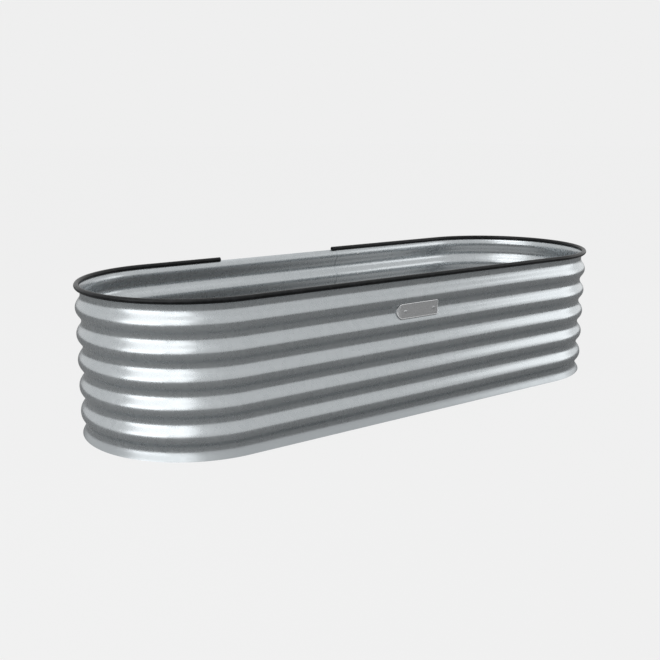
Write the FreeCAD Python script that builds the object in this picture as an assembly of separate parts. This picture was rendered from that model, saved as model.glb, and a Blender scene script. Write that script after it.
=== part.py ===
"""Raised garden bed: one long corrugated galvanised sheet bent into an oval ring with no floor.

The sheet's two ends lap at the back, held by a row of blind rivets, one in each valley. A black split
hose is pushed over the cut top edge and stops short of itself at the back. A small plain plate
bridges one valley of the front wall and is held by two long blind rivets. Each set rivet is a sleeve
with the broken end of its pin inside.

Units are millimetres. +Z is up, +X runs along the bed, the front wall faces -Y, and the origin is on
the ground in the middle of the ring. The oval's plan is made of true straights and half circles. The
wave, the hose and the rivets have a few flats in place of each small bend, to keep their faces few.
"""

import FreeCAD, Part
import math
import os

from FreeCAD import Vector

# ---------------------------------------------------------------- driving dimensions
PITCH = 75.0  # height of one full corrugation
DEPTH = 15.0  # crest to valley, on the sheet's middle surface
CROWN = 12.0  # height of the flat that stands for each crest's and valley's bend
SHEET = 1.0  # 20 gauge galvanised sheet
BED_LENGTH = 1848.0  # over the middle surface, halfway between crest and valley
BED_WIDTH = 625.0
WALL_HEIGHT = 422.5  # cut top edge of the sheet
LOWEST_CREST = -11.2  # where the crest would be that the cut bottom edge leaves out
WAVES = 6

LAP_INNER_END = 131.0  # cut end of the sheet that lies inside the lap
LAP_OUTER_END = 250.0  # cut end of the sheet that lies outside
LAP_GAP = 0.08  # air left between the two sheets
JOGGLE_END = 265.0  # from here to the lap's inner end, the sheet runs one sheet further in
JOGGLE_START = 325.0
SEAM_RIVETS = 224.0  # x of the rivet row

HOSE_DIAMETER = 15.0
HOSE_WALL = 2.5
HOSE_OUT = 1.5  # hose centre, outwards from the middle surface
HOSE_ABOVE_EDGE = 3.0  # hose centre above the cut top edge
HOSE_START = 114.0  # cut end of the hose at the back, just short of the lap
HOSE_STOP = -341.0  # its other cut end, on the far side of the bare stretch
HOSE_FLATS = 8
HOSE_BORE_FLATS = 4

RIVET_DIAMETER = 4.8
RIVET_HEAD_DIAMETER = 9.6
RIVET_HEAD_HEIGHT = 2.0
RIVET_TAIL_DIAMETER = 7.2
RIVET_TAIL_HEIGHT = 3.6
PIN_DIAMETER = 2.6
PIN_HEAD_DIAMETER = 4.4
PIN_HEAD_HEIGHT = 1.6
PIN_BREAK_DEPTH = 0.9  # how far below the rivet's head its pin has broken off
HOLE_CLEARANCE = 0.05  # round each rivet's shank, on the radius
RIVET_FLATS = 6

PLATE_CENTRE = -23.0
PLATE_FLAT = 140.0  # length of the flat part
PLATE_HEIGHT = 47.0
PLATE_THICKNESS = 2.0
PLATE_BEND_RADIUS = 14.0
PLATE_BEND_ANGLE = 30.0  # how far each round end leans back, in degrees
PLATE_RIVET_INSET = 15.0  # from the end of the flat part
PLATE_VALLEY = 4  # the valley it bridges, counted from the lowest, which is 0

# ---------------------------------------------------------------- worked out from them
HALF_WIDTH = BED_WIDTH / 2
HALF_STRAIGHT = (BED_LENGTH - BED_WIDTH) / 2
FLANK_SLOPE = DEPTH / (PITCH / 2 - CROWN)  # distance out for each millimetre of height
FLANK_LENGTHENING = math.hypot(1, FLANK_SLOPE)
SKIN = SHEET / 2
LAP_STEP = SHEET * FLANK_LENGTHENING + LAP_GAP
VALLEYS = [LOWEST_CREST + (n + 0.5) * PITCH for n in range(WAVES)]
OUTER_VALLEY = SKIN - DEPTH / 2  # the sheet's outer face at the bottom of a valley
INNER_VALLEY = -SKIN - DEPTH / 2
PLATE_LEVEL = VALLEYS[PLATE_VALLEY]
PLATE_REACH = PLATE_FLAT / 2 - PLATE_RIVET_INSET
PLATE_RIVETS = (PLATE_CENTRE - PLATE_REACH, PLATE_CENTRE + PLATE_REACH)
ALONG = Vector(1, 0, 0)
UP = Vector(0, 0, 1)
OUT_OF_BACK = Vector(0, 1, 0)
OUT_OF_FRONT = Vector(0, -1, 0)


def front_point(out, height, x=0.0):
    """A point by the front wall, from its distance out of the middle surface."""
    return Vector(x, -(HALF_WIDTH + out), height)


def closed(points):
    """The closed polygon through some points."""
    return Part.makePolygon(points + points[:1])


def level_ring(radius, flats, height=0.0):
    """The corners of a level regular polygon round the Z axis."""
    turns = [2 * math.pi * n / flats for n in range(flats)]
    return [Vector(radius * math.cos(a), radius * math.sin(a), height) for a in turns]


# ---------------------------------------------------------------- the corrugated section
def wave_corners():
    """The middle surface's corners on the front wall, from below the ground to past the top edge."""
    corners = []
    for n in range(2 * WAVES + 1):
        out = DEPTH / 2 if n % 2 == 0 else -DEPTH / 2
        height = LOWEST_CREST + n * PITCH / 2
        corners += [front_point(out, height - CROWN / 2), front_point(out, height + CROWN / 2)]
    return corners


def skin_line(skin):
    """One face of the sheet; skin is its distance out of the middle surface, negative inside."""
    corners = wave_corners()
    runs = [(b - a).normalize() for a, b in zip(corners, corners[1:])]
    normals = [Vector(0, -run.z, run.y) for run in runs]
    line = [corners[0] + normals[0] * skin]
    for corner, below, above in zip(corners[1:], normals, normals[1:]):
        line.append(corner + (below + above) * (skin / (1 + below.dot(above))))
    line.append(corners[-1] + normals[-1] * skin)
    return line


def section(inner_line, outer_line):
    """The face between two lines, cut off level at the ground and at the top edge."""
    whole = Part.Face(closed(inner_line + outer_line[::-1]))
    window = Part.makePlane(WALL_HEIGHT, 8 * DEPTH, front_point(-4 * DEPTH, 0), ALONG, UP)
    return whole.common(window).Faces[0]


def sheet_section():
    """The sheet's own section on the front wall."""
    return section(skin_line(-SKIN), skin_line(SKIN))


def lap_section():
    """Both thicknesses of the lap as one section, on the front wall's side."""
    inner = [corner + Vector(0, LAP_STEP, 0) for corner in skin_line(-SKIN)]
    return section(inner, skin_line(SKIN))


def hose_section(wall_section):
    """The hose's wall round the top edge, with the slit that a wall section opens in it."""
    centre = front_point(HOSE_OUT, WALL_HEIGHT + HOSE_ABOVE_EDGE)
    radius = HOSE_DIAMETER / 2
    outside = Part.Face(closed(level_ring(radius, HOSE_FLATS)))
    bore = Part.Face(closed(level_ring(radius - HOSE_WALL, HOSE_BORE_FLATS)))
    tube = outside.cut(bore)
    tube.Placement = FreeCAD.Placement(centre, FreeCAD.Rotation(UP, ALONG))
    return tube.cut(wall_section).Faces[0]


# ---------------------------------------------------------------- runs round the oval
def to_back(shape):
    """The same shape turned half round, from the front wall to the back wall."""
    turned = shape.copy()
    turned.rotate(Vector(0, 0, 0), UP, 180)
    return turned


def run_along(face, start_x, end_x, drift=0.0):
    """A straight run of a section from one x to another; drift moves it along y on the way."""
    placed = face.translated(Vector(start_x, 0, 0))
    return placed.extrude(Vector(end_x - start_x, drift, 0))


def run_round_end(face, centre_x):
    """A half turn round one end, counter-clockwise seen from above."""
    placed = face.translated(Vector(centre_x, 0, 0))
    return placed.revolve(Vector(centre_x, 0, 0), UP, 180)


def open_ring(front_face, start_x, stop_x):
    """Runs from one x of the back wall round the right end, the front and the left end to another."""
    back_face = to_back(front_face)
    return [
        run_along(back_face, start_x, HALF_STRAIGHT),
        run_round_end(front_face, HALF_STRAIGHT),
        run_along(front_face, -HALF_STRAIGHT, HALF_STRAIGHT),
        run_round_end(back_face, -HALF_STRAIGHT),
        run_along(back_face, -HALF_STRAIGHT, stop_x),
    ]


def joined(pieces):
    """Runs that meet face to face, as one solid."""
    whole = pieces[0].multiFuse(pieces[1:]).removeSplitter()
    return whole.Solids[0]


# ---------------------------------------------------------------- rivets
def stacked(*rings):
    """A solid through level rings of flats round the Z axis, each given as (radius, height)."""
    loops = [level_ring(radius, RIVET_FLATS, height) for radius, height in rings]
    faces = [Part.Face(closed(loops[0])), Part.Face(closed(loops[-1]))]
    for low, high in zip(loops, loops[1:]):
        for n in range(RIVET_FLATS):
            flat = [low[n - 1], low[n], high[n], high[n - 1]]
            faces.append(Part.Face(closed(flat)))
    return Part.makeSolid(Part.makeShell(faces))


def set_through(body, x, height, outwards):
    """A body made along Z, laid outwards with its zero on the wall's middle surface."""
    place = Vector(x, 0, height) + outwards * HALF_WIDTH
    body.Placement = FreeCAD.Placement(place, FreeCAD.Rotation(UP, outwards))
    return body


def rivet_hole(x, height, outwards):
    """The drill that clears one rivet's shank through everything at its place."""
    radius = RIVET_DIAMETER / 2 + HOLE_CLEARANCE
    return set_through(stacked((radius, -2 * DEPTH), (radius, 2 * DEPTH)), x, height, outwards)


def rivet_sleeve(x, height, outwards, grip, held):
    """The sleeve of one set blind rivet. grip is the (inner, outer) face of what it holds."""
    inner, outer = grip
    bore = PIN_DIAMETER / 2
    shank = RIVET_DIAMETER / 2
    head = RIVET_HEAD_DIAMETER / 2
    tail = RIVET_TAIL_DIAMETER / 2
    top = outer + RIVET_HEAD_HEIGHT
    bottom = inner - RIVET_TAIL_HEIGHT
    head_seat = outer - SKIN  # head and tail start inside the sheet and are cut back to its face
    tail_seat = inner + SKIN
    rim = outer + RIVET_HEAD_HEIGHT * 0.4
    bulge = inner - RIVET_TAIL_HEIGHT / 2
    dome = stacked((head, head_seat), (head, rim), (head / 2, top))
    bulb = stacked((tail * 0.7, bottom), (tail, bulge), (tail * 0.9, tail_seat))
    middle = stacked((shank, bulge), (shank, rim))
    hollow = stacked((bore, bottom), (bore, top))
    sleeve = set_through(dome.multiFuse([bulb, middle]).cut(hollow), x, height, outwards)
    return sleeve.cut(held).removeSplitter().Solids[0]


def rivet_pin(x, height, outwards, grip):
    """What is left of the pin in one set blind rivet: its head below the tail, and a broken stem."""
    inner, outer = grip
    stem = PIN_DIAMETER / 2
    head = PIN_HEAD_DIAMETER / 2
    under = inner - RIVET_TAIL_HEIGHT
    middle = under - PIN_HEAD_HEIGHT / 2
    knob = stacked((head / 2, under - PIN_HEAD_HEIGHT), (head, middle), (head, under))
    shaft = stacked((stem, middle), (stem, outer + RIVET_HEAD_HEIGHT - PIN_BREAK_DEPTH))
    pin = knob.fuse(shaft).removeSplitter().Solids[0]
    return set_through(pin, x, height, outwards)


# ---------------------------------------------------------------- the other pieces
def wall_sheet():
    """The sheet: a ring with a lap at the back, drilled for every rivet."""
    front_face = sheet_section()
    back_face = to_back(front_face)
    stepped_face = back_face.translated(Vector(0, -LAP_STEP, 0))
    ring = open_ring(front_face, JOGGLE_START, LAP_OUTER_END)
    ring.append(run_along(back_face, JOGGLE_START, JOGGLE_END, -LAP_STEP))
    ring.append(run_along(stepped_face, JOGGLE_END, LAP_INNER_END))
    drills = [rivet_hole(SEAM_RIVETS, height, OUT_OF_BACK) for height in VALLEYS]
    drills += [rivet_hole(x, PLATE_LEVEL, OUT_OF_FRONT) for x in PLATE_RIVETS]
    return joined(ring).cut(drills).Solids[0]


def edge_hose():
    """The split hose on the cut top edge: the edge opens its slit, and the lap opens it wider."""
    single = hose_section(sheet_section())
    double = to_back(hose_section(lap_section()))
    ring = open_ring(single, JOGGLE_START, HOSE_STOP)
    ring.append(run_along(double, JOGGLE_START, HOSE_START))
    return joined(ring)


def plate_seat():
    """How far out the plate's back lies, where its long edges meet the valley's two flanks."""
    up_the_flank = (PLATE_HEIGHT - CROWN) / 2
    return up_the_flank * FLANK_SLOPE - DEPTH / 2 + SKIN * FLANK_LENGTHENING


def plate_strip():
    """The bent strip that the plate is cut from, one half drawn and the other mirrored."""
    lean = math.radians(PLATE_BEND_ANGLE)
    back = plate_seat()
    centre_out = back - PLATE_BEND_RADIUS
    run_out = Vector(math.cos(lean), math.sin(lean), 0) * PLATE_HEIGHT

    def half(out):
        radius = out - centre_out
        start, middle, end = (
            front_point(
                centre_out + radius * math.cos(a), 0, PLATE_FLAT / 2 + radius * math.sin(a)
            )
            for a in (0, lean / 2, lean)
        )
        return front_point(out, 0), start, middle, end, end + run_out

    near, far = half(back), half(back + PLATE_THICKNESS)
    edges = [Part.makeLine(near[0], far[0]), Part.makeLine(near[-1], far[-1])]
    for first, start, middle, end, tip in (near, far):
        edges.append(Part.makeLine(first, start))
        edges.append(Part.Arc(start, middle, end).toShape())
        edges.append(Part.makeLine(end, tip))
    outline = Part.Face(Part.Wire(Part.__sortEdges__(edges)))
    right = outline.extrude(UP * PLATE_HEIGHT)
    strip = right.fuse(right.mirror(Vector(0, 0, 0), ALONG)).removeSplitter()
    strip.translate(Vector(PLATE_CENTRE, 0, PLATE_LEVEL - PLATE_HEIGHT / 2))
    return strip


def badge_plate(wall):
    """The plain plate: flat in the middle, its round ends leaning back into the valley."""
    corner = front_point(2 * DEPTH, PLATE_LEVEL - PLATE_HEIGHT / 2, PLATE_CENTRE - PLATE_FLAT / 2)
    cutters = [Part.makeBox(PLATE_FLAT, 4 * DEPTH, PLATE_HEIGHT, corner)]
    for end in (-1, 1):
        middle = front_point(2 * DEPTH, PLATE_LEVEL, PLATE_CENTRE + end * PLATE_FLAT / 2)
        cutters.append(Part.makeCylinder(PLATE_HEIGHT / 2, 4 * DEPTH, middle, OUT_OF_BACK))
    drills = [rivet_hole(x, PLATE_LEVEL, OUT_OF_FRONT) for x in PLATE_RIVETS]
    plate = plate_strip().common(cutters[0].multiFuse(cutters[1:])).cut(drills + [wall])
    return max(plate.removeSplitter().Solids, key=lambda solid: solid.Volume)


def main():
    """Builds every piece and writes one STEP file for each."""
    os.makedirs("parts", exist_ok=True)
    wall = wall_sheet()
    plate = badge_plate(wall)
    nodes = {"wall_sheet": wall, "edge_hose": edge_hose(), "badge_plate": plate}
    seam_grip = (INNER_VALLEY - LAP_STEP, OUTER_VALLEY)
    for number, height in enumerate(VALLEYS, 1):
        place = (SEAM_RIVETS, height, OUT_OF_BACK, seam_grip)
        nodes[f"seam_rivet_{number}"] = rivet_sleeve(*place, wall)
        nodes[f"seam_rivet_pin_{number}"] = rivet_pin(*place)
    plate_grip = (INNER_VALLEY, plate_seat() + PLATE_THICKNESS)
    for side, x in zip(("left", "right"), PLATE_RIVETS):
        place = (x, PLATE_LEVEL, OUT_OF_FRONT, plate_grip)
        nodes[f"badge_rivet_{side}"] = rivet_sleeve(*place, [wall, plate])
        nodes[f"badge_rivet_pin_{side}"] = rivet_pin(*place)
    for name, shape in nodes.items():
        shape.exportStep(f"parts/{name}.step")
        print(f"{name}: {shape.ShapeType}, valid {shape.isValid()}, {shape.Volume:.0f} mm3")


main()
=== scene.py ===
"""Looks of the raised garden bed: galvanised wall, black edge hose, plain badge plate and rivets.

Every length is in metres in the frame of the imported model: +Z up, +X along the bed, the front wall
with the badge plate facing -Y, the origin on the ground in the middle of the oval.
"""

import logging
import math
from contextlib import contextmanager
from dataclasses import dataclass
from enum import Enum
from typing import Any, Callable, Iterator

import bmesh
import bpy
from mathutils import Matrix, Vector


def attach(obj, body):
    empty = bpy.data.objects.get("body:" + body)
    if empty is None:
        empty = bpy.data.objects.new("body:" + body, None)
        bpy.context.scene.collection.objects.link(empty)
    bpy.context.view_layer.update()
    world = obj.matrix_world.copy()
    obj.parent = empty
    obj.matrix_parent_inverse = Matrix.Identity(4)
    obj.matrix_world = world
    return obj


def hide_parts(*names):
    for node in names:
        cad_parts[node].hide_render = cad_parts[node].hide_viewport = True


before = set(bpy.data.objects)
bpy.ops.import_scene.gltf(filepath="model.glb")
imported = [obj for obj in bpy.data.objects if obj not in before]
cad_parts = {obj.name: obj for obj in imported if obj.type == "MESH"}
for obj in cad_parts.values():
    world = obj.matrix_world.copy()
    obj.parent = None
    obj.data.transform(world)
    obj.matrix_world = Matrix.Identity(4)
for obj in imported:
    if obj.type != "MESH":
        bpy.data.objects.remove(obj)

LOG = logging.getLogger("garden_bed")
MM = 0.001
TOUCH = 0.05 * MM
MERGE = 0.01 * MM

Test = Callable[[Vector], bool]
Colour = tuple[float, float, float]


# ---------------------------------------------------------------- modelling helpers
class Part(Enum):
    """The kind of element that an operator in edit mode works on."""

    VERT = "VERT"
    EDGE = "EDGE"
    FACE = "FACE"


def activate(piece: bpy.types.Object) -> None:
    """Selects one piece alone and makes it the active one.

    Args:
        piece: The object that the next operator works on.
    """
    bpy.ops.object.select_all(action="DESELECT")
    piece.select_set(True)
    bpy.context.view_layer.objects.active = piece


@contextmanager
def editing(piece: bpy.types.Object) -> Iterator[None]:
    """Opens a piece in edit mode with nothing selected, and closes it again.

    Args:
        piece: The mesh object to edit.
    """
    activate(piece)
    bpy.ops.object.mode_set(mode="EDIT")
    bpy.ops.mesh.select_all(action="DESELECT")
    yield
    bpy.ops.object.mode_set(mode="OBJECT")


def pick(test: Test, part: Part = Part.VERT) -> None:
    """Selects what lies where a test says, and nothing else, in the piece that is open.

    Args:
        test: Says of a place whether it is wanted. An edge needs both of its ends there.
        part: What to select, corners or edges.
    """
    bpy.ops.mesh.select_mode(type=part.value)
    bpy.ops.mesh.select_all(action="DESELECT")
    mesh = bpy.context.edit_object.data
    shape = bmesh.from_edit_mesh(mesh)
    if part is Part.EDGE:
        wanted = [edge for edge in shape.edges if all(test(vert.co) for vert in edge.verts)]
    else:
        wanted = [vert for vert in shape.verts if test(vert.co)]
    for element in wanted:
        element.select_set(True)
    shape.select_flush_mode()
    bmesh.update_edit_mesh(mesh)


def pick_all(part: Part = Part.VERT) -> None:
    """Selects the whole of the piece that is open."""
    bpy.ops.mesh.select_mode(type=part.value)
    bpy.ops.mesh.select_all(action="SELECT")


def slide(y: float) -> None:
    """Moves what is selected along Y."""
    bpy.ops.transform.translate(value=(0.0, y, 0.0))


def extrude(x: float = 0.0, y: float = 0.0, z: float = 0.0) -> None:
    """Extrudes what is selected by a straight step."""
    bpy.ops.mesh.extrude_region_move(TRANSFORM_OT_translate={"value": (x, y, z)})


def fix_place(piece: bpy.types.Object) -> None:
    """Moves a piece's place, turn and scale into its mesh, so its object sits at the origin.

    Args:
        piece: The object.
    """
    activate(piece)
    bpy.ops.object.transform_apply(location=True, rotation=True, scale=True)


def new_piece(name: str) -> bpy.types.Object:
    """Names the primitive that was just added, and fixes its place.

    Args:
        name: The piece's name.

    Returns:
        The piece.
    """
    piece = bpy.context.active_object
    piece.name = name
    piece.data.name = name
    fix_place(piece)
    return piece


def finish_with(piece: bpy.types.Object, kind: str, **settings: Any) -> None:
    """Adds one modifier to a piece and applies it.

    Args:
        piece: The piece.
        kind: The modifier's type.
        **settings: The modifier's own settings.
    """
    activate(piece)
    modifier = piece.modifiers.new(kind.lower(), kind)
    for name, value in settings.items():
        setattr(modifier, name, value)
    bpy.ops.object.modifier_apply(modifier=modifier.name)


def smooth(piece: bpy.types.Object, degrees: float) -> None:
    """Shades a piece smooth across every edge that turns by less than an angle.

    Args:
        piece: The piece.
        degrees: The angle.
    """
    activate(piece)
    bpy.ops.object.shade_smooth_by_angle(angle=math.radians(degrees))


def face_outwards(piece: bpy.types.Object) -> None:
    """Merges doubles and turns every face of a closed piece outwards.

    Args:
        piece: A piece with no open edge.
    """
    with editing(piece):
        pick_all()
        bpy.ops.mesh.remove_doubles(threshold=MERGE)
        bpy.ops.mesh.normals_make_consistent(inside=False)


def ring_body(name: str, rings: list[tuple[float, float]], sides: int) -> bpy.types.Object:
    """Draws a round body up the Z axis, ring by ring.

    Args:
        name: The body's name.
        rings: Each ring's radius and height, in the order in which the surface passes them.
        sides: How many corners a ring has.

    Returns:
        The body, closed and facing outwards.
    """
    bpy.ops.object.select_all(action="DESELECT")
    radius, height = rings[0]
    bpy.ops.mesh.primitive_circle_add(
        vertices=sides, radius=radius, fill_type="NOTHING", location=(0.0, 0.0, height)
    )
    body = new_piece(name)
    with editing(body):
        pick_all(Part.EDGE)
        for (radius, height), (next_radius, next_height) in zip(rings, rings[1:]):
            extrude(z=next_height - height)
            grow = next_radius / radius
            middle = (0.0, 0.0, next_height)
            bpy.ops.transform.resize(value=(grow, grow, 1.0), center_override=middle)
    face_outwards(body)
    return body


def copy_to(
    piece: bpy.types.Object, name: str, place: Vector, facing: int
) -> bpy.types.Object:
    """Copies a body that stands on the Z axis, with a mesh of its own.

    Args:
        piece: The body to copy.
        name: The copy's name.
        place: Where the copy's origin goes.
        facing: 1 where its top faces +Y, -1 where it faces -Y.

    Returns:
        The copy.
    """
    copy = piece.copy()
    copy.data = piece.data.copy()
    copy.name = copy.data.name = name
    bpy.context.scene.collection.objects.link(copy)
    copy.rotation_euler.x = -facing * math.pi / 2
    copy.location = place
    fix_place(copy)
    return copy


# ---------------------------------------------------------------- shader helpers
@dataclass(frozen=True)
class Flow:
    """A socket that takes part in sums, so that shader maths reads as arithmetic."""

    shader: "Shader"
    socket: bpy.types.NodeSocket

    def math(self, operation: str, *others: Any) -> "Flow":
        """One Math node on this value and the others."""
        inputs = dict(enumerate((self, *others)))
        return self.shader.add("ShaderNodeMath", {"operation": operation}, inputs)

    def __add__(self, other: Any) -> "Flow":
        """Sum."""
        return self.math("ADD", other)

    def __mul__(self, other: Any) -> "Flow":
        """Product."""
        return self.math("MULTIPLY", other)

    def __sub__(self, other: Any) -> "Flow":
        """Difference."""
        return self.math("SUBTRACT", other)

    def __rsub__(self, other: float) -> "Flow":
        """Difference from a number."""
        return self.shader.add("ShaderNodeMath", {"operation": "SUBTRACT"}, {0: other, 1: self})

    __radd__ = __add__
    __rmul__ = __mul__

    def ramp(self, low: float, high: float, to_low: float = 0.0, to_high: float = 1.0) -> "Flow":
        """Maps low..high smoothly onto another range, and holds the ends.

        Args:
            low: Where the ramp starts.
            high: Where it ends.
            to_low: The value below low.
            to_high: The value above high.

        Returns:
            The mapped value.
        """
        return self.shader.add(
            "ShaderNodeMapRange",
            {"interpolation_type": "SMOOTHSTEP"},
            {"Value": self, "From Min": low, "From Max": high, "To Min": to_low, "To Max": to_high},
        )


class Shader:
    """One node tree, of a material or of the world, and the kinds of node that it needs."""

    def __init__(self, owner: bpy.types.Material | bpy.types.World) -> None:
        """Empties the nodes of a material or a world.

        Args:
            owner: The material or world.
        """
        owner.use_nodes = True
        self.owner = owner
        self.tree = owner.node_tree
        self.tree.nodes.clear()

    @classmethod
    def named(cls, name: str) -> "Shader":
        """The nodes of a new material."""
        return cls(bpy.data.materials.new(name))

    def add(
        self,
        kind: str,
        settings: dict[str, Any] | None = None,
        inputs: dict[Any, Any] | None = None,
        output: Any = 0,
    ) -> Flow:
        """Adds one node.

        Args:
            kind: The node's type.
            settings: Its own settings, set first.
            inputs: Values or links of its sockets, by name or number.
            output: The output wanted, by name or number.

        Returns:
            That output.
        """
        node = self.tree.nodes.new(kind)
        for name, value in (settings or {}).items():
            setattr(node, name, value)
        for key, value in (inputs or {}).items():
            if isinstance(value, Flow):
                self.tree.links.new(value.socket, node.inputs[key])
            else:
                node.inputs[key].default_value = value
        return Flow(self, node.outputs[output])

    def place(self, scale: tuple[float, float, float]) -> Flow:
        """Object coordinates, stretched by a scale on each axis."""
        spot = self.add("ShaderNodeTexCoord", output="Object")
        return self.add("ShaderNodeMapping", {}, {"Vector": spot, "Scale": scale})

    def height(self) -> Flow:
        """Height above the ground."""
        spot = self.add("ShaderNodeTexCoord", output="Object")
        return self.add("ShaderNodeSeparateXYZ", {}, {"Vector": spot}, "Z")

    def noise(self, scale: tuple[float, float, float], detail: float = 2.0) -> Flow:
        """Soft noise from 0 to 1.

        Args:
            scale: Its grains for each metre on each axis.
            detail: How many finer layers it has.

        Returns:
            The noise.
        """
        return self.add(
            "ShaderNodeTexNoise",
            {"noise_dimensions": "3D"},
            {"Vector": self.place(scale), "Scale": 1.0, "Detail": detail, "Roughness": 0.55},
        )

    def flakes(self, per_metre: float) -> Flow:
        """A random value from 0 to 1 for each cell of a crystal pattern.

        Args:
            per_metre: How many cells a metre has.

        Returns:
            The value.
        """
        cell = self.add(
            "ShaderNodeTexVoronoi",
            {"feature": "F1"},
            {"Vector": self.place((per_metre,) * 3), "Scale": 1.0, "Randomness": 1.0},
            "Color",
        )
        return self.add("ShaderNodeSeparateColor", {}, {"Color": cell}, "Red")

    def mix(self, share: Flow, low: Flow | Colour, high: Flow | Colour) -> Flow:
        """A colour between two.

        Args:
            share: 0 for the low colour, 1 for the high one.
            low: One colour, as a value or a flow.
            high: The other.

        Returns:
            The mixed colour.
        """
        ends = (end if isinstance(end, Flow) else (*end, 1.0) for end in (low, high))
        inputs = {"Factor": share, **dict(zip((6, 7), ends))}
        return self.add("ShaderNodeMix", {"data_type": "RGBA"}, inputs, 2)

    def bump(self, height: Flow, depth: float) -> Flow:
        """A normal that follows small relief.

        Args:
            height: Its height, from 0 to 1.
            depth: How far out a height of 1 stands, in metres.

        Returns:
            The normal.
        """
        inputs = {"Height": height, "Distance": depth, "Strength": 1.0}
        return self.add("ShaderNodeBump", {}, inputs)

    def surface(self, **inputs: Any) -> bpy.types.Material:
        """Ends the tree in a Principled shader.

        Args:
            **inputs: Its sockets, with underscores for spaces.

        Returns:
            The finished material.
        """
        named = {name.replace("_", " "): value for name, value in inputs.items()}
        self.show(self.add("ShaderNodeBsdfPrincipled", {}, named))
        return self.owner

    def show(self, body: Flow) -> None:
        """Links a shader to the output of the material or the world.

        Args:
            body: The shader.
        """
        kind = "World" if isinstance(self.owner, bpy.types.World) else "Material"
        node = self.tree.nodes.new(f"ShaderNodeOutput{kind}")
        self.tree.links.new(body.socket, node.inputs["Surface"])


# ---------------------------------------------------------------- finishes
@dataclass(frozen=True)
class GalvanisedFinish:
    """Hot-dipped zinc: crystal flakes, faint vertical drag marks, a satin sheen, and a rougher foot
    painted darker as painted shade.

    The shares say how much of the tone, and the hazes how much of the roughness, comes from the
    flakes, the drag marks, the clouds and the foot. The foot's darker tone is painted shade,
    standing in for the darker reflection near the ground, and fades out between its two heights.
    """

    light: Colour = (0.521, 0.550, 0.566)
    dark: Colour = (0.477, 0.506, 0.523)
    # painted shade: the foot's darker colour stands in for the darker reflection near the ground
    painted_shade: Colour = (0.390, 0.416, 0.431)
    contrast: tuple[float, float] = (0.15, 0.85)
    foot: tuple[float, float] = (16.0 * MM, 27.0 * MM)
    foot_patchiness: float = 0.4
    flakes_per_metre: float = 55.0
    drag_grain: tuple[float, float, float] = (90.0, 90.0, 12.0)
    cloud_grain: tuple[float, float, float] = (9.0, 9.0, 6.0)
    flake_share: float = 0.25
    drag_share: float = 0.55
    cloud_share: float = 0.2
    metallic: float = 0.85
    smoothest: float = 0.23
    flake_haze: float = 0.03
    drag_haze: float = 0.07
    foot_haze: float = 0.05
    relief: float = 0.04 * MM

    def make(self) -> bpy.types.Material:
        """Builds the material.

        Returns:
            The material.
        """
        shader = Shader.named("galvanised_zinc")
        flake = shader.flakes(self.flakes_per_metre)
        drag = shader.noise(self.drag_grain, 1.0)
        cloud = shader.noise(self.cloud_grain, 3.0)
        tone = flake * self.flake_share + drag * self.drag_share + cloud * self.cloud_share
        patches = cloud * self.foot_patchiness + (1.0 - self.foot_patchiness)
        # mask of the painted shade at the foot, patchy with the clouds
        foot = shader.height().ramp(*self.foot, 1.0, 0.0) * patches
        zinc = shader.mix(tone.ramp(*self.contrast), self.dark, self.light)
        haze = flake * self.flake_haze + drag * self.drag_haze + foot * self.foot_haze
        return shader.surface(
            # the mix towards the foot's darker colour is painted shade, not a tone of the zinc
            Base_Color=shader.mix(foot, zinc, self.painted_shade),
            Metallic=self.metallic,
            Roughness=haze + self.smoothest,
            Normal=shader.bump(drag, self.relief),
        )


@dataclass(frozen=True)
class CutEdgeFinish:
    """The sheet's sheared edge: bare steel under a thin grey film, its colour made lighter than the
    steel's own as a painted highlight.
    """

    # the light colour is partly bare steel and partly a painted highlight of light caught by the
    # burred edge
    light: Colour = (0.90, 0.91, 0.92)
    dark: Colour = (0.66, 0.67, 0.68)
    contrast: tuple[float, float] = (0.3, 0.7)
    grains_per_metre: float = 900.0
    metallic: float = 0.2
    smoothest: float = 0.4
    haze: float = 0.2
    relief: float = 0.05 * MM

    def make(self) -> bpy.types.Material:
        """Builds the material.

        Returns:
            The material.
        """
        shader = Shader.named("cut_edge")
        grain = shader.noise((self.grains_per_metre,) * 3, 2.0)
        return shader.surface(
            Base_Color=shader.mix(grain.ramp(*self.contrast), self.dark, self.light),
            Metallic=self.metallic,
            Roughness=grain * self.haze + self.smoothest,
            Normal=shader.bump(grain, self.relief),
        )


@dataclass(frozen=True)
class HoseFinish:
    """Extruded black rubber: finely grained, faintly mottled, slightly glossy."""

    black: Colour = (0.004, 0.0045, 0.005)
    bloom: Colour = (0.014, 0.015, 0.017)
    contrast: tuple[float, float] = (0.35, 0.75)
    mottles_per_metre: float = 60.0
    grains_per_metre: float = 1400.0
    smoothest: float = 0.26
    haze: float = 0.16
    specular: float = 0.2
    relief: float = 0.05 * MM

    def make(self) -> bpy.types.Material:
        """Builds the material.

        Returns:
            The material.
        """
        shader = Shader.named("black_rubber")
        mottle = shader.noise((self.mottles_per_metre,) * 3, 4.0)
        grain = shader.noise((self.grains_per_metre,) * 3, 2.0)
        return shader.surface(
            Base_Color=shader.mix(mottle.ramp(*self.contrast), self.black, self.bloom),
            Roughness=mottle * self.haze + self.smoothest,
            Specular_IOR_Level=self.specular,
            Normal=shader.bump(grain * 0.5 + mottle * 0.5, self.relief),
        )


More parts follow.
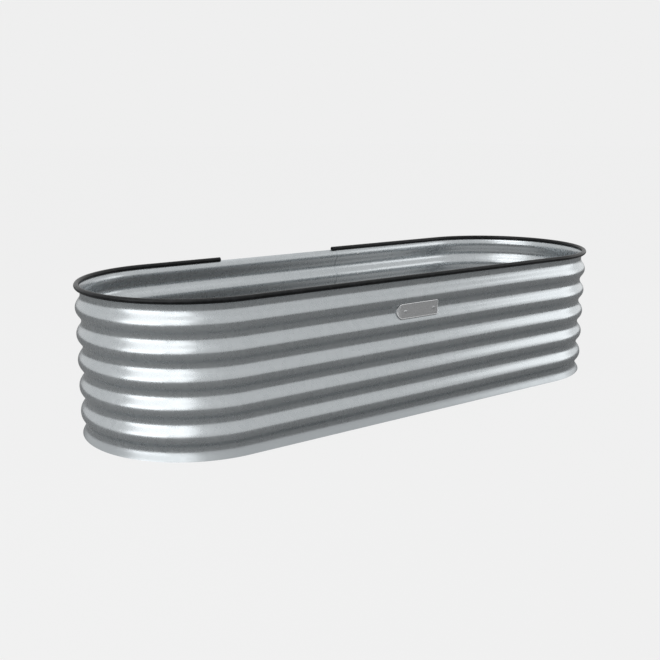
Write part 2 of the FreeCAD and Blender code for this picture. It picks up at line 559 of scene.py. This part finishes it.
@dataclass(frozen=True)
class BrushedFinish:
    """Brushed metal, its scratches along the bed."""

    name: str
    light: Colour
    dark: Colour
    metallic: float
    smoothest: float
    haze: float = 0.15
    contrast: tuple[float, float] = (0.3, 0.7)
    scratch_grain: tuple[float, float, float] = (40.0, 3000.0, 3000.0)
    clouds_per_metre: float = 120.0
    scratch_share: float = 0.6
    relief: float = 0.02 * MM

    def make(self) -> bpy.types.Material:
        """Builds the material.

        Returns:
            The material.
        """
        shader = Shader.named(self.name)
        scratch = shader.noise(self.scratch_grain, 3.0)
        cloud = shader.noise((self.clouds_per_metre,) * 3, 2.0)
        tone = scratch * self.scratch_share + cloud * (1.0 - self.scratch_share)
        return shader.surface(
            Base_Color=shader.mix(tone.ramp(*self.contrast), self.dark, self.light),
            Metallic=self.metallic,
            Roughness=scratch * self.haze + self.smoothest,
            Normal=shader.bump(scratch, self.relief),
        )


BADGE_METAL = BrushedFinish(
    name="brushed_badge",
    light=(0.80, 0.81, 0.82),
    dark=(0.74, 0.75, 0.76),
    metallic=0.75,
    smoothest=0.17,
)
RIVET_ALUMINIUM = BrushedFinish(
    name="rivet_aluminium",
    light=(0.66, 0.67, 0.68),
    dark=(0.48, 0.49, 0.50),
    metallic=0.5,
    smoothest=0.27,
)
PIN_STEEL = BrushedFinish(
    name="pin_steel",
    light=(0.38, 0.38, 0.39),
    dark=(0.20, 0.20, 0.21),
    metallic=0.5,
    smoothest=0.35,
)


def dress(piece: bpy.types.Object, slot: str, *materials: bpy.types.Material) -> None:
    """Gives a piece its materials and its body.

    Args:
        piece: The finished piece.
        slot: The record's material slot; not used.
        *materials: Its materials, in the order of its faces' indices.
    """
    piece.data.materials.clear()
    for material in materials:
        piece.data.materials.append(material)
    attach(piece, "root")
    LOG.info("%s: %d faces", piece.name, len(piece.data.polygons))


# ---------------------------------------------------------------- the oval
@dataclass(frozen=True)
class Oval:
    """The plan of the ring, with the sweeps that carry a section round it."""

    half_straight: float = 611.5 * MM
    half_width: float = 312.5 * MM
    end_steps: int = 72

    def along(self, start_x: float, end_x: float, drift: float = 0.0) -> None:
        """Extrudes what is selected straight along a side."""
        extrude(end_x - start_x, drift)

    def round_end(self, side: int) -> None:
        """Spins what is selected half a turn round one end, clockwise seen from above.

        Args:
            side: 1 for the right end, -1 for the left end.
        """
        bpy.ops.mesh.spin(
            steps=self.end_steps,
            angle=math.pi,
            center=(side * self.half_straight, 0.0, 0.0),
            axis=(0.0, 0.0, 1.0),
        )

    def circuit(self, stop_x: float) -> None:
        """Carries what is selected from where the right end starts, all round to the back wall.

        Args:
            stop_x: Where on the back wall it ends.
        """
        self.round_end(1)
        self.along(self.half_straight, -self.half_straight)
        self.round_end(-1)
        self.along(-self.half_straight, stop_x)


OVAL = Oval()


# ---------------------------------------------------------------- wall
@dataclass
class WallSheet:
    """The corrugated sheet: one strip round the oval, lapped at the back."""

    pitch: float = 75.0 * MM
    depth: float = 15.0 * MM
    flank_angle: float = 35.0
    thickness: float = 1.0 * MM
    height: float = 422.5 * MM
    lowest_crest: float = -11.2 * MM
    row_height: float = 2.5 * MM
    lap_inner_end: float = 131.0 * MM
    lap_outer_end: float = 250.0 * MM
    lap_step: float = 1.3 * MM
    joggle_end: float = 265.0 * MM
    joggle_start: float = 325.0 * MM
    crease: float = 35.0

    def out(self, height: float) -> float:
        """How far the middle surface lies outwards at a height.

        Args:
            height: Height above the ground.

        Returns:
            The distance from the middle of the wave, positive outwards.
        """
        lean = math.radians(self.flank_angle)
        half = self.pitch / 2
        radius = (half * math.tan(lean) - self.depth) / (2 / math.cos(lean) - 2)
        turns = (height - self.lowest_crest) / half
        nearest = round(turns)
        offset = abs(turns - nearest) * half
        side = 1 if nearest % 2 == 0 else -1
        if offset < radius * math.sin(lean):
            bend = self.depth / 2 - radius + math.sqrt(radius**2 - offset**2)
        else:
            bend = (half / 2 - offset) * math.tan(lean)
        return side * bend

    def build(self) -> bpy.types.Object:
        """Makes a stretch of the strip by the back wall and sweeps it on round the oval.

        Returns:
            The sheet.
        """
        rows = round(self.height / self.row_height)
        run = OVAL.half_straight - self.joggle_start
        middle = (self.joggle_start + run / 2, OVAL.half_width, self.height / 2)
        bpy.ops.mesh.primitive_grid_add(
            x_subdivisions=1,
            y_subdivisions=rows,
            size=1.0,
            location=middle,
            rotation=(math.pi / 2, 0.0, 0.0),
        )
        sheet = new_piece("corrugated_wall")
        with editing(sheet):
            pick_all()
            bpy.ops.transform.resize(value=(run, 1.0, self.height), center_override=middle)
            for row in range(rows + 1):
                level = row * self.height / rows
                pick(lambda spot: abs(spot.z - level) < TOUCH)
                slide(self.out(level))
            pick(lambda spot: spot.x < self.joggle_start + TOUCH, Part.EDGE)
            OVAL.along(self.joggle_start, self.joggle_end, -self.lap_step)
            OVAL.along(self.joggle_end, self.lap_inner_end)
            pick(lambda spot: spot.x > OVAL.half_straight - TOUCH, Part.EDGE)
            OVAL.circuit(self.lap_outer_end)
            pick_all()
            bpy.ops.mesh.normals_make_consistent(inside=False)
        finish_with(
            sheet,
            "SOLIDIFY",
            thickness=self.thickness,
            offset=0.0,
            use_even_offset=True,
            material_offset_rim=1,
        )
        with editing(sheet):
            for level in (0.0, self.height):
                pick(lambda spot: abs(spot.z - level) < self.thickness / 2)
                bpy.ops.transform.resize(value=(1.0, 1.0, 0.0), center_override=(0.0, 0.0, level))
        smooth(sheet, self.crease)
        return sheet

    def make(self) -> None:
        """Builds and dresses the wall."""
        sheet = self.build()
        dress(sheet, "galvanised_sheet", GalvanisedFinish().make(), CutEdgeFinish().make())
        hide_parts("wall_sheet")


# ---------------------------------------------------------------- hose
@dataclass
class EdgeHose:
    """The split hose on the top edge."""

    radius: float = 7.5 * MM
    wall: float = 2.5 * MM
    out: float = 1.3 * MM
    level: float = 425.5 * MM
    start: float = 114.0 * MM
    stop: float = -341.0 * MM
    sides: int = 24
    crease: float = 40.0

    def build(self, sheet: WallSheet) -> bpy.types.Object:
        """Makes the hose's section and carries it round the oval, its slit wider over the lap.

        Args:
            sheet: The wall that goes into the slit.

        Returns:
            The hose.
        """
        middle = Vector((self.start, OVAL.half_width + self.out, self.level))
        half_side = math.pi / self.sides
        lip = middle.z - self.radius * math.cos(3 * half_side)
        bpy.ops.mesh.primitive_circle_add(
            vertices=self.sides,
            radius=self.radius,
            fill_type="NOTHING",
            location=middle,
            rotation=(0.0, math.pi / 2, 0.0),
        )
        hose = new_piece("split_hose")
        with editing(hose):
            pick_all()
            bpy.ops.transform.rotate(value=half_side, orient_axis="X", center_override=middle)
            pick(lambda spot: spot.y < middle.y and spot.z < lip + TOUCH, Part.EDGE)
            bpy.ops.mesh.delete(type="EDGE_FACE")
            pick_all(Part.EDGE)
            OVAL.along(self.start, sheet.joggle_end)
            OVAL.along(sheet.joggle_end, sheet.joggle_start)
            OVAL.along(sheet.joggle_start, OVAL.half_straight)
            OVAL.circuit(self.stop)
            lap = self.start - TOUCH, sheet.joggle_end + TOUCH
            pick(
                lambda spot: lap[0] < spot.x < lap[1]
                and 0.0 < spot.y < middle.y
                and abs(spot.z - lip) < TOUCH
            )
            slide(-sheet.lap_step)
            pick_all()
            bpy.ops.mesh.normals_make_consistent(inside=False)
        finish_with(hose, "SOLIDIFY", thickness=self.wall, offset=-1.0)
        smooth(hose, self.crease)
        return hose

    def make(self, sheet: WallSheet) -> None:
        """Builds and dresses the hose.

        Args:
            sheet: The wall that goes into the slit.
        """
        hose = self.build(sheet)
        dress(hose, "edge_hose", HoseFinish().make())
        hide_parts("edge_hose")


# ---------------------------------------------------------------- badge plate
@dataclass
class BadgePlate:
    """The bare plate over one valley of the front: flat, with round ends curved back into it."""

    centre: float = -23.0 * MM
    level: float = 326.3 * MM
    flat: float = 134.0 * MM
    height: float = 47.0 * MM
    thickness: float = 2.0 * MM
    end_length: float = 14.0 * MM
    end_drop: float = 12.4 * MM
    # The ends follow an ellipse: its half length over end_length, and the share of its depth
    # that they drop.
    curve_reach: float = 1.033
    curve_fall: float = 0.748
    sheet: float = 1.1 * MM
    shoulder: float = 0.55 * MM
    shoulder_rises: tuple[float, float] = (0.65, 0.35)
    border: float = 1.8 * MM
    step: float = 0.9 * MM
    recess: float = 0.6 * MM
    bevel: float = 0.2 * MM
    bevel_from: float = 40.0
    crease: float = 30.0
    end_steps: int = 14

    def front(self, wall: WallSheet) -> float:
        """How far out its front lies, with its back on both flanks of the valley.

        Args:
            wall: The wall that it lies on.

        Returns:
            The distance from the middle of the wave, positive outwards.
        """
        edge = wall.out(self.level - self.height / 2)
        skin = wall.thickness / 2 / math.cos(math.radians(wall.flank_angle))
        return edge + skin + self.thickness

    def lean(self, past: float) -> float:
        """How far the front has dropped back at a distance past the end of its flat part.

        Args:
            past: The distance.

        Returns:
            The drop.
        """
        share = past / (self.curve_reach * self.end_length)
        return self.end_drop / self.curve_fall * (1 - math.sqrt(1 - share**2))

    def round_end(self, side: int) -> None:
        """Draws one round end out of the flat part's edge, curving back as it goes.

        Args:
            side: 1 for the right end, -1 for the left end.
        """
        edge = self.centre + side * self.flat / 2
        pick(lambda spot: side * (spot.x - edge) > -TOUCH, Part.EDGE)
        turns = [math.pi / 2 * step / self.end_steps for step in range(self.end_steps + 1)]
        for turn, next_turn in zip(turns, turns[1:]):
            past, next_past = (self.end_length * math.sin(t) for t in (turn, next_turn))
            extrude(side * (next_past - past), self.lean(next_past) - self.lean(past))
            narrow = math.cos(next_turn) / math.cos(turn)
            middle = (0.0, 0.0, self.level)
            bpy.ops.transform.resize(value=(1.0, 1.0, narrow), center_override=middle)

    def build(self, front_y: float) -> bpy.types.Object:
        """Draws the plate's front, raises its rounded border and gives it its thickness.

        Args:
            front_y: The Y of its front.

        Returns:
            The plate.
        """
        rise = self.thickness - self.sheet
        middle = (self.centre, front_y + rise, self.level)
        bpy.ops.object.select_all(action="DESELECT")
        upright = (math.pi / 2, 0.0, 0.0)
        bpy.ops.mesh.primitive_plane_add(size=1.0, location=middle, rotation=upright)
        plate = new_piece("plain_badge")
        with editing(plate):
            pick_all()
            size = (self.flat, 1.0, self.height)
            bpy.ops.transform.resize(value=size, center_override=middle)
            for side in (-1, 1):
                self.round_end(side)
            pick_all()
            bpy.ops.mesh.remove_doubles(threshold=MERGE)
            pick_all(Part.FACE)
            for share in self.shoulder_rises:
                bpy.ops.mesh.inset(thickness=self.shoulder, depth=rise * share)
            bpy.ops.mesh.inset(thickness=self.border)
            bpy.ops.mesh.inset(thickness=self.step, depth=-self.recess)
        finish_with(plate, "SOLIDIFY", thickness=self.sheet, offset=-1.0)
        finish_with(
            plate,
            "BEVEL",
            width=self.bevel,
            segments=2,
            limit_method="ANGLE",
            angle_limit=math.radians(self.bevel_from),
        )
        smooth(plate, self.crease)
        return plate

    def make(self, wall: WallSheet) -> None:
        """Builds and dresses the plate.

        Args:
            wall: The wall that it lies on.
        """
        plate = self.build(-OVAL.half_width - self.front(wall))
        dress(plate, "badge_plate", BADGE_METAL.make())
        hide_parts("badge_plate")


# ---------------------------------------------------------------- rivets
@dataclass
class BlindRivet:
    """One size of blind rivet: a sleeve with a domed head and a bulbed tail, and its broken pin."""

    shank: float = 2.4 * MM
    head: float = 4.8 * MM
    head_height: float = 2.0 * MM
    tail: float = 3.6 * MM
    tail_height: float = 3.6 * MM
    bore: float = 1.3 * MM
    pin_head: float = 2.2 * MM
    pin_head_height: float = 1.6 * MM
    break_depth: float = 0.9 * MM
    # The straight share of the head's height, and of the tail's width.
    rim: float = 0.22
    neck: float = 0.64
    sides: int = 32
    crease: float = 32.0

    def sleeve(self, grip: float) -> bpy.types.Object:
        """Draws the sleeve, its head's seat at height 0 and what it holds below.

        Args:
            grip: How much it holds together.

        Returns:
            The sleeve.
        """
        top, tail_end = self.head_height, -grip - self.tail_height
        dome = [
            (self.head * math.cos(turn), top * (self.rim + (1 - self.rim) * math.sin(turn)))
            for turn in map(math.radians, (0, 12, 24, 36, 48, 60, 68))
        ]
        half = self.tail_height / 2
        bulb = [
            (
                self.tail * (self.neck + (1 - self.neck) * math.cos(turn)),
                -grip - half + half * math.sin(turn),
            )
            for turn in map(math.radians, (-88, -66, -44, -22, 0, 22, 44, 66, 88))
        ]
        rings = [(self.bore, tail_end), *bulb, (self.shank, -grip), (self.shank, 0.0)]
        rings += [(self.head * 0.985, 0.0), (self.head, top * 0.08), *dome]
        rings += [(self.bore * 1.18, top), (self.bore, top * 0.9), (self.bore, tail_end)]
        return ring_body("sleeve", rings, self.sides)

    def pin(self, grip: float) -> bpy.types.Object:
        """Draws the pin's head below the tail, and its stem up to where it broke.

        Args:
            grip: How much its rivet holds together.

        Returns:
            The pin.
        """
        under = -grip - self.tail_height
        low = under - self.pin_head_height
        end = self.head_height - self.break_depth
        stem = self.bore * 0.98
        tiny = 0.001 * MM
        rings = [
            (tiny, low),
            (self.pin_head * 0.45, low + 0.1 * MM),
            (self.pin_head * 0.85, low + 0.4 * MM),
            (self.pin_head, low + 0.8 * MM),
            (self.pin_head * 0.94, under - 0.15 * MM),
            (self.bore * 1.05, under),
            (stem, under + 0.1 * MM),
            (stem, end - 0.25 * MM),
            (self.bore * 0.7, end),
            (tiny, end - 0.12 * MM),
        ]
        return ring_body("pin", rings, self.sides)

    def make_row(
        self,
        places: dict[str, Vector],
        facing: int,
        grip: float,
        finishes: tuple[bpy.types.Material, ...],
    ) -> None:
        """Sets one rivet at each place.

        Args:
            places: The head's seat of each rivet, by the name of its sleeve's node.
            facing: 1 where the heads face +Y, -1 where they face -Y.
            grip: How much the rivets hold together.
            finishes: The sleeve's and the pin's material.
        """
        models = {"sleeve": self.sleeve(grip), "pin": self.pin(grip)}
        for model in models.values():
            smooth(model, self.crease)
        for name, place in places.items():
            pin_name = name.replace("rivet_", "rivet_pin_")
            for kind, node, finish in zip(models, (name, pin_name), finishes):
                piece = copy_to(models[kind], f"set_{node}", place, facing)
                dress(piece, f"rivet_{kind}", finish)
                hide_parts(node)
        for model in models.values():
            bpy.data.objects.remove(model)


@dataclass
class Rivets:
    """Every rivet of the bed: six through the lap and two through the badge plate."""

    seam_x: float = 224.0 * MM
    lowest_valley: float = 26.3 * MM
    seam_count: int = 6
    badge_x: tuple[float, float] = (-78.0 * MM, 32.0 * MM)

    def make(self, wall: WallSheet, badge: BadgePlate) -> None:
        """Builds and dresses every rivet.

        Args:
            wall: The wall, whose lap and valley the rivets go through.
            badge: The plate that two of them hold.
        """
        rivet = BlindRivet()
        finishes = RIVET_ALUMINIUM.make(), PIN_STEEL.make()
        valley = wall.depth / 2
        skin = wall.thickness / 2
        seam_y = OVAL.half_width - valley + skin
        levels = (self.lowest_valley + n * wall.pitch for n in range(self.seam_count))
        seam = {
            f"seam_rivet_{number}": Vector((self.seam_x, seam_y, level))
            for number, level in enumerate(levels, 1)
        }
        rivet.make_row(seam, 1, wall.thickness + wall.lap_step, finishes)
        front = badge.front(wall) - badge.recess
        places = {
            f"badge_rivet_{side}": Vector((x, -OVAL.half_width - front, badge.level))
            for side, x in zip(("left", "right"), self.badge_x)
        }
        rivet.make_row(places, -1, front + valley + skin, finishes)


# ---------------------------------------------------------------- stage
@dataclass(frozen=True)
class Softbox:
    """One soft lamp, placed as seen from the bed: azimuth 0 is in front, 90 to its right."""

    name: str
    azimuth: float
    elevation: float
    distance: float
    size: tuple[float, float]
    watts: float


SOFTBOXES = (
    Softbox("overhead", 0.0, 88.0, 3.0, (3.5, 2.2), 10.0),
    Softbox("left_low", -76.0, 10.0, 3.0, (1.8, 1.1), 11.6),
    Softbox("left_high", -76.0, 34.0, 3.0, (1.8, 1.5), 10.8),
    Softbox("left_top", -66.0, 66.0, 2.8, (1.8, 1.0), 11.0),
    Softbox("front_left", -48.0, 24.0, 3.0, (0.8, 2.4), 9.0),
    Softbox("right", 64.0, 16.0, 2.3, (0.9, 1.2), 3.9),
    Softbox("far_right", 92.0, 13.0, 2.6, (1.2, 1.2), 1.5),
)


def direction(azimuth: float, elevation: float) -> Vector:
    """The way from the bed to where something stands.

    Args:
        azimuth: Degrees round from the front, positive to the bed's right.
        elevation: Degrees up.

    Returns:
        A vector of length 1.
    """
    turn, tilt = math.radians(azimuth), math.radians(elevation)
    return Vector(
        (math.sin(turn) * math.cos(tilt), -math.cos(turn) * math.cos(tilt), math.sin(tilt))
    )


@dataclass(frozen=True)
class Studio:
    """A pale floor and backdrop, soft lamps, and the camera at the photograph's angle."""

    pale: float = 0.863
    floor_size: float = 60.0
    floor_paint: float = 0.6
    dim_paint: float = 0.26
    floor_lift: float = 0.95
    mirror_lift: float = 0.13
    shade_lift: float = 0.02
    lit_lift: float = 0.5
    lit_reach: tuple[float, float] = (-0.2, 0.8)
    rim: float = 30.0 * MM
    lift_colour: float = 0.896
    ambient: float = 0.3
    lamp_aim: float = 0.2
    lens: float = 49.30
    azimuth: float = -35.958
    elevation: float = 12.846
    roll: float = 0.187
    distance: float = 2.9659
    slide_right: float = -0.0976
    slide_up: float = -0.0143
    aim_height: float = 0.2161

    def camera(self) -> None:
        """Places the camera."""
        back = direction(self.azimuth, self.elevation)
        turn, roll = math.radians(self.azimuth), math.radians(self.roll)
        level = Vector((math.cos(turn), math.sin(turn), 0.0))
        upright = back.cross(level)
        right = math.cos(roll) * level + math.sin(roll) * upright
        up = math.cos(roll) * upright - math.sin(roll) * level
        place = back * self.distance + right * self.slide_right + up * self.slide_up
        place.z += self.aim_height
        camera = bpy.data.cameras.new("camera")
        camera.lens = self.lens
        camera.sensor_width = 36.0
        holder = bpy.data.objects.new("camera", camera)
        bpy.context.scene.collection.objects.link(holder)
        turned = Matrix((right, up, back)).transposed().to_4x4()
        holder.matrix_world = Matrix.Translation(place) @ turned
        bpy.context.scene.camera = holder

    def rays(self, shader: Shader) -> tuple[Flow, Flow]:
        """Tells apart the rays that show the background from those that only carry light.

        Args:
            shader: The floor's or the world's nodes.

        Returns:
            1 for the camera's rays, and 1 for mirrored rays and those through glass.
        """
        camera, glossy, through = (
            shader.add("ShaderNodeLightPath", output=name)
            for name in ("Is Camera Ray", "Is Glossy Ray", "Is Transmission Ray")
        )
        return camera, (glossy + through).math("MINIMUM", 1.0)

    def lift_in_metal(self, shader: Shader) -> Flow:
        """How far the floor is lifted to the backdrop where the metal mirrors it.

        Args:
            shader: The floor's nodes.

        Returns:
            mirror_lift round the bed. Inside, a lift painted by place: little at the left, as
            painted shade where the walls shade the floor, and more towards the right, as a painted
            pool of light where the lamps reach it.
        """
        spot = shader.add("ShaderNodeTexCoord", output="Object")
        across, back = (
            shader.add("ShaderNodeSeparateXYZ", {}, {"Vector": spot}, axis) for axis in "XY"
        )
        past = (across.math("ABSOLUTE") - OVAL.half_straight).math("MAXIMUM", 0.0)
        reach = (past * past + back * back).math("SQRT")
        within = reach.ramp(OVAL.half_width - self.rim, OVAL.half_width, 1.0, 0.0)
        # painted shade at the left of the floor inside the bed, and a painted pool of light towards
        # its right
        inner = across.ramp(*self.lit_reach, self.shade_lift, self.lit_lift)
        return self.mirror_lift + within * (inner - self.mirror_lift)

    def floor(self) -> None:
        """A pale floor that keeps the object's shadow: its own paint, lifted to the backdrop."""
        bpy.ops.mesh.primitive_plane_add(size=self.floor_size)
        floor = new_piece("floor")
        shader = Shader.named("pale_floor")
        camera, mirrored = self.rays(shader)
        paint = shader.mix(camera, (self.dim_paint,) * 3, (self.floor_paint,) * 3)
        plain = shader.add("ShaderNodeBsdfDiffuse", {}, {"Color": paint})
        lift = (self.lift_colour,) * 3 + (1.0,)
        lifted = shader.add("ShaderNodeEmission", {}, {"Color": lift, "Strength": 1.0})
        share = camera * self.floor_lift + mirrored * self.lift_in_metal(shader)
        shader.show(shader.add("ShaderNodeMixShader", {}, {0: share, 1: plain, 2: lifted}))
        floor.data.materials.append(shader.owner)

    def world(self) -> None:
        """A plain pale backdrop with a soft even light."""
        bpy.context.scene.world = bpy.data.worlds.new("studio")
        shader = Shader(bpy.context.scene.world)
        camera, mirrored = self.rays(shader)
        seen = camera.math("MAXIMUM", mirrored)
        tint = shader.mix(seen, (self.ambient,) * 3, (self.pale,) * 3)
        shader.show(shader.add("ShaderNodeBackground", {}, {"Color": tint, "Strength": 1.0}))

    def lamp(self, box: Softbox) -> None:
        """Adds one soft lamp.

        Args:
            box: The lamp.
        """
        towards = direction(box.azimuth, box.elevation)
        light = bpy.data.lights.new(box.name, "AREA")
        light.shape = "RECTANGLE"
        light.size, light.size_y = box.size
        light.energy = box.watts
        holder = bpy.data.objects.new(box.name, light)
        bpy.context.scene.collection.objects.link(holder)
        holder.location = Vector((0.0, 0.0, self.lamp_aim)) + towards * box.distance
        holder.rotation_euler = towards.to_track_quat("Z", "Y").to_euler()
        holder.visible_camera = False

    def build(self) -> None:
        """Sets the whole stage."""
        bpy.context.scene.view_settings.view_transform = "Standard"
        self.camera()
        self.floor()
        self.world()
        for box in SOFTBOXES:
            self.lamp(box)


def main() -> None:
    """Builds every piece in order."""
    logging.basicConfig(level=logging.INFO, format="%(name)s: %(message)s")
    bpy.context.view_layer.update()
    Studio().build()
    wall = WallSheet()
    badge = BadgePlate()
    wall.make()
    EdgeHose().make(wall)
    badge.make(wall)
    Rivets().make(wall, badge)


if __name__ == "__main__":
    main()
